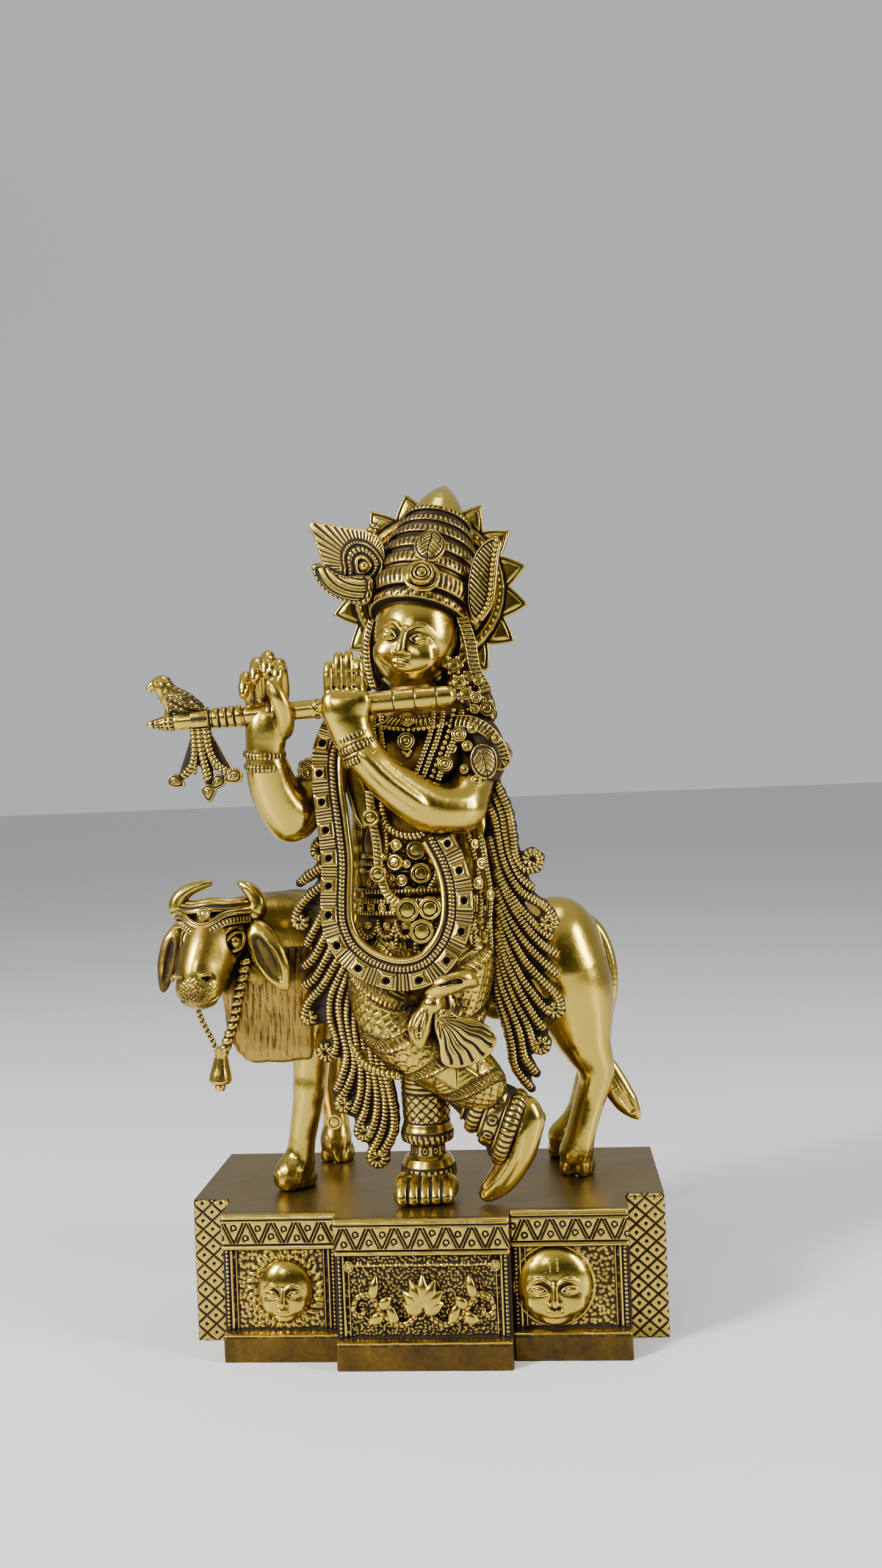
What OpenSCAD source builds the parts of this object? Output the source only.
// Cast brass flute-player figure with a cow, on a stepped hollow pedestal.
// Every piece is cast or turned on its own, then brazed or bolted to its neighbour.
// Lengths are millimetres. X runs to the right, Y away from the viewer, Z up.

/* [Pedestal] */
// Width of the pedestal over its two end pilasters
pedestal_w = 250; // [246:1:256]
// Height of the pedestal
pedestal_h = 75; // [70:1:80]
// Depth from the pilasters' front faces to the back wall
pedestal_d = 87; // [85:1:92]
// How far the side bays stand in front of the pilasters
bay_out = 21.5; // [18:0.5:24]
// How far the centre block stands in front of the pilasters
centre_out = 32; // [28:0.5:34]
// Wall thickness of the hollow casting
wall = 4; // [3:0.5:5]
// Width of one end pilaster
pilaster_w = 20.5; // [18:0.5:24]
// Width of the centre block
centre_w = 89; // [84:1:94]

/* [Figure] */
// Lean of the head and crown towards the figure's left
head_lean = 11; // [6:1:14]
// Radius of the crown at its brow band
crown_r = 28; // [26:0.5:29]
// Radius of the flute's tube
flute_r = 4.7; // [4:0.1:5]
// Thickness of the cast shawl sheets
sheet_t = 5; // [4:0.5:6]
// Number of points on the halo
halo_points = 16; // [12:1:18]

/* [Fasteners] */
// Radius of the threaded studs under the feet and hooves
stud_r = 3; // [2.5:0.5:3.5]
// Clearance between a stud and its hole
stud_gap = 0.25; // [0.15:0.05:0.4]

/* [Hidden] */
$fn = 48;
SOFT = 12; // facets round a ball inside a hull
ledge = 4; // step-out of the plinth under each front panel
plinth_h = 15; // height of that plinth
cornice_h = 16; // height of the engraved band along each panel's top
plate_t = 3; // thickness of the applied front plates
top_t = 5; // thickness of the pedestal's top plate
deck = pedestal_h; // level that the feet and hooves stand on

// The frame's origin is the bottom centre of the whole object's box.
reach_left = 139.5; // how far the cow's ear reaches to the left
reach_front = 38.6; // how far the bangles reach in front of the pilasters
origin_x = (reach_left - pedestal_w / 2) / 2;
origin_y = (reach_front - pedestal_d) / 2;

// Points of the figure, from the pedestal's middle, its pilasters' front face and the floor.
foot_l = [2, 6, deck];
ankle_l = [2, 12, deck + 25];
knee_l = [9, 10, deck + 78];
hip_l = [16, 10, deck + 140];
hip_r = [-10, 8, deck + 140];
knee_r = [-16, -12, deck + 92];
ankle_r = [46, -8, deck + 56];
heel_r = [54, -6, deck + 49];
toe_r = [34.5, -10.5, deck + 5.5];
hips = [5, 9, deck + 148];
waist = [-4, 9, deck + 187];
chest = [2, 8, deck + 228];
neck_base = [3, 8, deck + 256];
head_c = [6, 10, deck + 300];
shoulder_r = [-30, 12, deck + 246];
elbow_r = [-62, -8, deck + 203];
wrist_r = [-72, -22, deck + 236];
palm_r = [-70, -23.5, deck + 257];
shoulder_l = [37, 12, deck + 242];
elbow_l = [31, -9, deck + 203];
wrist_l = [-19, -27, deck + 234];
palm_l = [-27.5, -30, deck + 260];
flute_from = [-131, -29, deck + 254];
flute_to = [28, -20, deck + 263];

// Points of the cow.
chest_c = [-58, 42, deck + 122];
rump_c = [76, 54, deck + 116];
poll_c = [-108.5, 12, deck + 142];
muzzle_c = [-115.8, -11.5, deck + 113.5];
hoof_fn = [-73, 24, deck];
hoof_ff = [-58, 70, deck];
hoof_rn = [82, 36, deck];
hoof_rf = [74, 70, deck];
hooves = [hoof_fn, hoof_ff, hoof_rn, hoof_rf];

// ---------- shared shapes ----------
module place() { translate([origin_x, origin_y, 0]) children(); }

module egg(c, r, turn = [0, 0, 0]) {
    hull() translate(c) rotate(turn) scale(r) sphere(1, $fn = SOFT + 4);
}

// A chain of rounded cones through points, with a radius at each.
module limb(points, radii) {
    for (i = [0 : len(points) - 2])
        hull() {
            translate(points[i]) sphere(radii[i], $fn = SOFT);
            translate(points[i + 1]) sphere(radii[i + 1], $fn = SOFT);
        }
}

// A round bar between two points.
module bar(a, b, r1, r2) {
    d = b - a;
    translate(a)
        rotate([0, acos(d.z / norm(d)), atan2(d.y, d.x)])
            cylinder(h = norm(d), r1 = r1, r2 = r2);
}

// A ring of round section about the line through c along axis.
module ring(c, axis, r, thick) {
    translate(c)
        rotate([0, acos(axis.z / norm(axis)), atan2(axis.y, axis.x)])
            rotate_extrude() translate([r, 0]) circle(thick, $fn = 24);
}

// A flat casting, upright in the X-Z plane, from its front face back.
module upright(front_y, thick) {
    translate([0, front_y + thick, 0]) rotate([90, 0, 0]) linear_extrude(thick) children();
}

// The head's own axes, so that the crown and halo lean with it.
module with_head() { translate(head_c) rotate([0, head_lean, 0]) children(); }

// ---------- pedestal ----------
module pedestal_plan(inset) {
    half = pedestal_w / 2;
    inner = half - pilaster_w;
    c = centre_w / 2;
    front = plate_t + inset;
    polygon([
        [-half + inset, pedestal_d - inset], [-half + inset, front],
        [-inner + inset, front], [-inner + inset, -bay_out + front],
        [-c + inset, -bay_out + front], [-c + inset, -centre_out + front],
        [c - inset, -centre_out + front], [c - inset, -bay_out + front],
        [inner - inset, -bay_out + front], [inner - inset, front],
        [half - inset, front], [half - inset, pedestal_d - inset]
    ]);
}

module stud_hole(p) {
    translate([p.x, p.y, deck - top_t - 1]) cylinder(h = top_t + 2, r = stud_r + stud_gap);
}

module pedestal_shell() {
    color("goldenrod") place() difference() {
        linear_extrude(deck) pedestal_plan(0);
        translate([0, 0, -1]) linear_extrude(deck - top_t + 1) pedestal_plan(wall);
        stud_hole(foot_l);
        for (h = hooves) stud_hole(h);
    }
}

// A front panel with a cornice above and a plinth below.
module panel(x0, x1, out) {
    translate([x0, -out, 0]) cube([x1 - x0, plate_t, deck]);
    translate([x0, -out - ledge, 0]) cube([x1 - x0, ledge, plinth_h]);
    translate([x0, -out - ledge / 2, deck - cornice_h]) cube([x1 - x0, ledge / 2, cornice_h]);
}

module pilaster(x0) { translate([x0, 0, 0]) cube([pilaster_w, plate_t, deck]); }

module pilaster_left() { color("gold") place() pilaster(-pedestal_w / 2); }
module pilaster_right() { color("gold") place() pilaster(pedestal_w / 2 - pilaster_w); }
module bay_left() {
    color("gold") place() panel(-pedestal_w / 2 + pilaster_w, -centre_w / 2, bay_out);
}
module bay_right() {
    color("gold") place() panel(centre_w / 2, pedestal_w / 2 - pilaster_w, bay_out);
}
module centre_block() { color("gold") place() panel(-centre_w / 2, centre_w / 2, centre_out); }

// A round relief: a shallow dome brazed on a panel.
module boss(c, r, rise) {
    ball_r = (r * r + rise * rise) / (2 * rise);
    intersection() {
        translate([c.x, c.y - rise + ball_r, c.z]) sphere(ball_r);
        translate([c.x, c.y, c.z]) rotate([90, 0, 0]) cylinder(h = rise + 1, r = r);
    }
}

boss_z = (plinth_h + deck - cornice_h) / 2;
boss_x = (pedestal_w / 2 - pilaster_w + centre_w / 2) / 2;
module sun_boss() { color("gold") place() boss([-boss_x, -bay_out, boss_z], 21, 8); }
module moon_boss() { color("gold") place() boss([boss_x - 3, -bay_out, boss_z], 18.5, 9); }
module lotus_relief() {
    color("gold") place() for (s = [-2 : 2])
        translate([s * 14, -centre_out, boss_z]) rotate([90, 0, 0]) cylinder(h = 2.6, r = 7.6 - abs(s));
}

// ---------- fasteners under the deck ----------
nut_r = 2 * stud_r;
stud_below = 20; // length of stud under the deck
stud_above = 12; // length of stud inside a foot or hoof
module stud(p) {
    translate([p.x, p.y, deck - stud_below]) cylinder(h = stud_below + stud_above, r = stud_r);
}
module nut(p) {
    translate([p.x, p.y, deck - top_t - stud_r * 2]) difference() {
        cylinder(h = stud_r * 2, r = nut_r, $fn = 6);
        translate([0, 0, -1]) cylinder(h = stud_r * 2 + 2, r = stud_r);
    }
}
module figure_stud() { color("silver") place() stud(foot_l); }
module figure_nut() { color("silver") place() nut(foot_l); }
module hoof_studs() { color("silver") place() for (h = hooves) stud(h); }
module hoof_nuts() { color("silver") place() for (h = hooves) nut(h); }

// ---------- cow ----------
module cow_body() {
    color("khaki") place() union() {
        limb([chest_c, (chest_c + rump_c) / 2 + [0, 0, 0], rump_c], [31, 29, 31]);
        egg(chest_c + [-4, 0, 22], [22, 13, 18]);
        limb([chest_c + [-6, -6, 6], [-92, 26, deck + 140]], [27, 15]);
        limb([[-66, 30, deck + 95], [-94, 18, deck + 110]], [13, 12]);
    }
}
module leg(top, knee, hoof, r) {
    foot = hoof + [0, 0, 6];
    limb([top, knee, foot + [0, 0, 12], foot], [r, 8, 6, 8]);
    hull() {
        translate(foot) sphere(8, $fn = SOFT);
        translate(hoof + [-2, -2, 0]) cylinder(h = 4, r = 9, $fn = SOFT);
    }
}
module cow_legs() {
    color("khaki") place() difference() {
        union() {
            leg([-58, 28, deck + 100], [-62, 26, deck + 48], hoof_fn, 13);
            leg([-58, 60, deck + 100], [-55, 66, deck + 50], hoof_ff, 13);
            leg([80, 42, deck + 100], [88, 46, deck + 54], hoof_rn, 16);
            leg([76, 64, deck + 100], [80, 68, deck + 54], hoof_rf, 16);
        }
        for (h = hooves) stud(h);
    }
}
module cow_dewlap() {
    color("khaki") place() translate([0, 8, 0]) upright(0, 12)
        polygon([
            [-60, deck + 120], [-62, deck + 72], [-96, deck + 71], [-102, deck + 76], [-104, deck + 90],
            [-102, deck + 118]
        ]);
}
module cow_head() {
    color("khaki") place() {
        egg(poll_c + [0, -3, 0], [19.6, 15.5, 15.5]);
        limb([poll_c + [-1, -8, -5], poll_c + [-4, -15, -16], muzzle_c + [0, 3, 2]], [14, 12, 10.6]);
        egg(muzzle_c, [11.6, 9, 10.5]);
    }
}
module horn(tip) {
    side = sign(tip.x);
    translate(poll_c) limb([
        [side * 14, -4, 9], [side * 20, -5, 11], [side * 23, -5, 16], [side * 20, -5, 22],
        [(side * 20 + tip.x) / 2, -4, 26], tip
    ], [5, 5, 4.6, 4, 3, 2]);
}
module cow_horns() { color("khaki") place() { horn([-3, -4, 27.5]); horn([11, -4, 27]); } }
module cow_headband() {
    color("gold") place() translate(poll_c + [0, -15, 10]) rotate([20, 0, 0])
        cube([40, 5, 11], center = true);
}
module cow_ear_left() {
    color("khaki") place() egg([-132, 4, deck + 129], [5, 4, 19], [0, 18, 0]);
}
module cow_ear_right() {
    color("khaki") place() egg([-80, 4, deck + 130], [8, 4, 20], [0, -28, 0]);
}
module cow_tail() {
    color("khaki") place() {
        limb([
            [95, 56, deck + 132], [105, 57, deck + 112], [105, 57, deck + 90], [97, 56, deck + 62]
        ], [5, 4.5, 4, 4]);
        limb([[97, 56, deck + 62], [106, 52, deck + 44], [116, 50, deck + 28]], [5, 6, 3]);
    }
}
module cow_collar() {
    color("gold") place() {
        limb([[-91, 2, deck + 128], [-95.5, -2, deck + 108], [-106, -1.5, deck + 80]], [3.2, 3.2, 3.2]);
        limb([[-117, -4, deck + 104], [-111, -3, deck + 89], [-106, -1.5, deck + 80]], [2.4, 2.4, 2.4]);
    }
}
module cow_bell() {
    color("gold") place() translate([-107.4, -1.5, deck + 59]) rotate_extrude()
        polygon([[0, 0], [2.6, 1], [2.6, 4], [5.8, 4.5], [6, 10], [3.6, 18], [3, 24], [0, 24]]);
}

// ---------- figure: legs and feet ----------
module foot_standing() {
    color("khaki") place() difference() {
        hull() {
            translate([foot_l.x - 9, -8, deck]) cylinder(h = 8, r = 6, $fn = SOFT);
            translate([foot_l.x + 10, -8, deck]) cylinder(h = 7, r = 5.5, $fn = SOFT);
            translate([foot_l.x, 22, deck]) cylinder(h = 14, r = 10, $fn = SOFT);
            translate(ankle_l + [0, 2, -8]) sphere(9, $fn = SOFT);
        }
        stud(foot_l);
    }
}
module foot_crossed() {
    color("khaki") place() limb([heel_r, [50.5, -8, deck + 28], toe_r], [8.2, 8, 5]);
}
module leg_standing() {
    color("gold") place() limb([hip_l - [0, 0, 8], knee_l, [4, 10, deck + 60]], [24, 16, 11]);
}
module leg_crossed() {
    color("gold") place() {
        limb([hip_r - [2, 0, 10], knee_r, (knee_r + ankle_r) / 2, ankle_r], [22, 19, 15, 13]);
        egg((knee_r + hip_l) / 2 + [4, -2, 4], [24, 15, 26]);
    }
}
module anklets_standing() {
    color("gold") place() translate([1.8, 6.5, deck]) rotate_extrude() polygon([
        [0, 9], [12, 9], [15.2, 11], [15.2, 17], [9.4, 22], [9.4, 28], [14.2, 30], [14.2, 35], [12.6, 39],
        [13.3, 56], [13.3, 66], [0, 66]
    ]);
}
module anklets_crossed() {
    axis = [0.92, -0.08, -0.39];
    color("gold") place() for (s = [-9, -2, 5])
        ring([38, -7, deck + 50.5] + s * axis, axis, 12.5 + s / 8, 4.2);
}

// ---------- figure: body ----------
module torso() {
    color("peru") place() {
        hull() {
            translate(hips) scale([36, 23, 26]) sphere(1, $fn = SOFT + 4);
            translate(waist) scale([23, 16, 14]) sphere(1, $fn = SOFT + 4);
        }
        hull() {
            translate(waist) scale([23, 16, 14]) sphere(1, $fn = SOFT + 4);
            translate(chest) scale([31, 18, 24]) sphere(1, $fn = SOFT + 4);
        }
        limb([shoulder_r, neck_base, shoulder_l], [12, 12, 12]);
        limb([neck_base, head_c - [2, 0, 20]], [11, 10]);
    }
}
module head() { color("khaki") place() with_head() egg([0, 0, -3], [23.2, 23, 28]); }
module ears_and_drops() {
    color("gold") place() with_head() for (s = [-1, 1]) {
        egg([s * 24, 4, -8], [4, 5, 10]);
        limb([[s * 25, 3, -18], [s * 25, 2, -27]], [4, 3]);
    }
}
module hair_locks() {
    color("peru") place() {
        limb([head_c + [24, 8, -18], [38, 6, deck + 268], [46, 8, deck + 250]], [7, 8, 6]);
        limb([head_c + [-24, 8, -8], [-26, 12, deck + 268]], [5, 5]);
    }
}

// ---------- figure: crown ----------
crown_tip_back = 20; // degrees the crown tips back from the head's own axis
crown_top_z = 67.4; // height of the crown's flat top along that axis
module with_crown() { with_head() rotate([-crown_tip_back, 0, 0]) children(); }
module crown() {
    top_r = crown_r - 9.6;
    color("gold") place() with_crown() rotate_extrude()
        polygon([
            [0, 14], [crown_r - 6, 14], [crown_r - 6, 6], [crown_r - 1, 6], [crown_r, 9], [crown_r, 24],
            [crown_r - 1, 34], [crown_r - 3, 44], [crown_r - 6, 54], [top_r, 64], [top_r, crown_top_z],
            [0, crown_top_z]
        ]);
}
module crown_finial() {
    color("khaki") place() with_crown() translate([0, 0, crown_top_z]) rotate_extrude()
        polygon([
            [0, 0], [15.8, 0], [15.8, 1.2], [13.4, 7.4], [10.6, 12.4], [7.2, 17], [4, 20.6], [0, 23.6]
        ]);
}
module crown_medallion() {
    color("gold") place() with_crown() translate([0.5, -crown_r + 1, 18.6]) rotate([90, 0, 0])
        cylinder(h = 4.5, r = 6.6);
}
module crown_leaf() {
    color("gold") place() with_crown() translate([1.6, -crown_r + 4, 28]) rotate([81, 0, 0])
        linear_extrude(4.5) hull() {
            translate([0, 8]) circle(8.5);
            translate([0, 18]) circle(3);
        }
}
// A star-edged ring standing behind the crown; its middle is open and carries nothing.
module halo() {
    outer = 55.5;
    inner = 44.5;
    star = [for (i = [0 : 2 * halo_points - 1])
        let (a = 180 * i / halo_points, r = i % 2 == 0 ? inner : outer) [r * sin(a), r * cos(a)]];
    color("gold") place() with_head() translate([0.7, 31, 26]) rotate([90, 0, 0])
        linear_extrude(5.5) difference() {
            polygon(star);
            circle(17);
        }
}
module crown_side_plume() {
    color("gold") place() translate([41.5, 4, deck + 325]) rotate([90, 0, 0])
        linear_extrude(6) hull() {
            translate([8, 18]) circle(3);
            translate([-2.4, -19]) circle(3.2);
            translate([-0.5, -4]) circle(6.4);
        }
}
module peacock_feather() {
    color("gold") place() translate([-19.6, 10, deck + 334.6]) rotate([90, 0, 0])
        linear_extrude(5) {
            hull() {
                circle(11);
                translate([-29, 25.5]) circle(1.5);
                translate([5, 14]) circle(3);
            }
            hull() {
                translate([-8, -11]) circle(9);
                translate([-27, 0]) circle(3.4);
            }
        }
}

// ---------- figure: arms, flute and jewellery ----------
// Four fingers raised side by side above a palm; curl bends their ends forward over the flute.
module fingers(palm, spread, tall, curl = 0) {
    for (i = [-1.5 : 1.5]) {
        root = palm + [spread * i, 0, 8];
        tip = palm + [spread * i, -1, tall - abs(i)];
        limb([root, tip], [3, 2.7]);
        if (curl > 0) limb([tip, tip + [0, -curl, -curl / 2]], [2.7, 2.5]);
    }
}
module arm_right() {
    color("khaki") place() {
        limb([shoulder_r, elbow_r, wrist_r, palm_r], [12, 11.6, 8, 8.4]);
        fingers(palm_r, 5.6, 26, 9);
    }
}
module arm_left() {
    color("khaki") place() {
        limb([shoulder_l, elbow_l, wrist_l, palm_l], [13, 12, 8.2, 8]);
        fingers(palm_l, 5.1, 23);
    }
}
module armlets() {
    color("gold") place() {
        ring((shoulder_r + elbow_r) / 2, elbow_r - shoulder_r, 11, 3);
        ring(shoulder_l + [4, 0, -4], [0.3, 0, -1], 12.5, 3.4);
    }
}
module bangles_right() {
    axis = palm_r - wrist_r;
    color("gold") place() for (s = [-5, 1])
        ring(wrist_r + [0, 0, s], axis, 8.8, 2.6);
}
module bangles_left() {
    axis = [-0.36, -0.08, 0.93];
    color("gold") place() for (s = [-5, 1, 6])
        ring([-22.5, -27.2, deck + 238] + s * axis, axis, 8.6, 2.4);
}
module shoulder_ornament() {
    color("gold") place() limb([[27, -6, deck + 247], [41, -5, deck + 243], [44, -5, deck + 230]], [6, 7, 8]);
}
module flute() {
    color("khaki") place() bar(flute_from, flute_to, flute_r, flute_r);
}
module flute_bird() {
    color("gold") place() {
        egg(flute_from + [17, 0, 11], [11, 4.5, 6], [0, 25, 0]);
        egg(flute_from + [8.5, 0, 21], [4.6, 4, 4.6]);
    }
}
module flute_tassel() {
    t = flute_from + (flute_to - flute_from) * 0.175;
    color("gold") place() {
        ring(t, flute_to - flute_from, flute_r + 1.6, 2);
        limb([t - [0, 0, 6], t - [11, 0, 24]], [3, 4]);
        limb([t - [0, 0, 6], t - [-2, 0, 36]], [4, 5]);
        limb([t - [0, 0, 6], t - [-16, 0, 25]], [3, 4]);
    }
}
module collar_necklace() {
    color("gold") place() {
        translate(neck_base + [0, 2, -6]) rotate([24, 0, 0]) rotate_extrude()
            translate([20, 0]) square([9, 5], center = true);
        translate([2, -9, deck + 236]) rotate([90, 0, 0]) cylinder(h = 5, r = 5.4);
    }
}
module chest_chains() {
    color("gold") place() {
        limb([[28, -2, deck + 258], [24, -9, deck + 240], [12, -12, deck + 224]], [4, 4, 4]);
        limb([[-16, -2, deck + 256], [-14, -8, deck + 236], [-6, -11, deck + 222]], [3.4, 3.4, 3.4]);
    }
}
garland_path = [
    [-33, -2, deck + 255], [-40, -13, deck + 236], [-40, -18, deck + 200], [-39, -20, deck + 165],
    [-34, -24, deck + 139], [-21, -27, deck + 127], [-6, -30, deck + 123], [8, -30, deck + 125.5],
    [19, -28, deck + 136], [24, -24, deck + 152], [24, -20, deck + 166], [14, -14, deck + 190]
];
module garland_outer() { color("gold") place() limb(garland_path, [for (p = garland_path) 7.5]); }
module garland_inner() {
    color("gold") place() limb([
        [-20, -8, deck + 206], [-20, -10, deck + 186], [-14, -15, deck + 168], [2, -19, deck + 154],
        [10, -20, deck + 152]
    ], [3.6, 4, 4.4, 5.5, 6]);
}
module waist_belt() {
    color("gold") place() translate([5, 9, deck + 151]) scale([37, 24.5, 1])
        cylinder(h = 10, r = 1);
}
module girdle_drops() {
    color("gold") place() for (i = [-2 : 2])
        translate([4 + i * 11, abs(i) * 3, deck]) limb([[0, -14, 158], [0, -16, 140]], [4, 4.6]);
}
module sash_knot() {
    color("gold") place() {
        limb([[9, -27, deck + 107], [3, -29, deck + 88]], [5, 5]);
        limb([[9, -27, deck + 110], [19, -29, deck + 117], [30, -22, deck + 116]], [4.5, 5.5, 3]);
        hull() {
            translate([18, -27, deck + 94]) sphere(5, $fn = SOFT);
            translate([19, -28, deck + 81]) sphere(3.4, $fn = SOFT);
            translate([35, -27, deck + 87]) sphere(4, $fn = SOFT);
            translate([30, -26, deck + 96]) sphere(4, $fn = SOFT);
        }
    }
}

// ---------- figure: shawl ----------
module shawl_left() {
    color("gold") place() upright(2, sheet_t) polygon([
        [-40, deck + 190], [-58, deck + 192], [-62, deck + 176], [-66, deck + 150], [-63, deck + 120],
        [-64, deck + 100], [-56, deck + 72], [-48, deck + 48], [-40, deck + 34], [-28, deck + 17],
        [-20, deck + 24], [-18, deck + 60], [-20, deck + 110], [-30, deck + 150]
    ]);
}
module shawl_right() {
    color("gold") place() upright(6, sheet_t) polygon([
        [34, deck + 214], [42, deck + 212], [47, deck + 190], [58, deck + 178], [66, deck + 182],
        [66, deck + 168], [72, deck + 152], [74, deck + 120], [75, deck + 92], [68, deck + 70],
        [66, deck + 52],
        [56, deck + 50], [44, deck + 70], [38, deck + 120], [42, deck + 160], [40, deck + 184]
    ]);
}
module shawl_back() {
    color("gold") place() {
        limb([[-30, 22, deck + 252], [-46, 20, deck + 225], [-44, 14, deck + 188]], [9, 8, 6]);
        limb([[36, 20, deck + 250], [40, 18, deck + 226], [40, 12, deck + 206]], [9, 8, 6]);
        limb([[-32, 10, deck + 244], [-29, 4, deck + 224], [-24, 2, deck + 200]], [6.5, 6, 4.5]);
        hull() {
            translate([-26, 26, deck + 250]) sphere(6, $fn = SOFT);
            translate([32, 26, deck + 246]) sphere(6, $fn = SOFT);
            translate([-34, 26, deck + 140]) sphere(5, $fn = SOFT);
            translate([40, 26, deck + 140]) sphere(5, $fn = SOFT);
        }
    }
}

pedestal_shell();
pilaster_left();
pilaster_right();
bay_left();
bay_right();
centre_block();
sun_boss();
moon_boss();
lotus_relief();
figure_stud();
figure_nut();
hoof_studs();
hoof_nuts();
cow_body();
cow_legs();
cow_dewlap();
cow_head();
cow_horns();
cow_headband();
cow_ear_left();
cow_ear_right();
cow_tail();
cow_collar();
cow_bell();
foot_standing();
foot_crossed();
leg_standing();
leg_crossed();
anklets_standing();
anklets_crossed();
torso();
head();
ears_and_drops();
hair_locks();
crown();
crown_finial();
crown_medallion();
crown_leaf();
halo();
crown_side_plume();
peacock_feather();
arm_right();
arm_left();
armlets();
bangles_right();
bangles_left();
shoulder_ornament();
flute();
flute_bird();
flute_tassel();
collar_necklace();
chest_chains();
garland_outer();
garland_inner();
waist_belt();
girdle_drops();
sash_knot();
shawl_left();
shawl_right();
shawl_back();
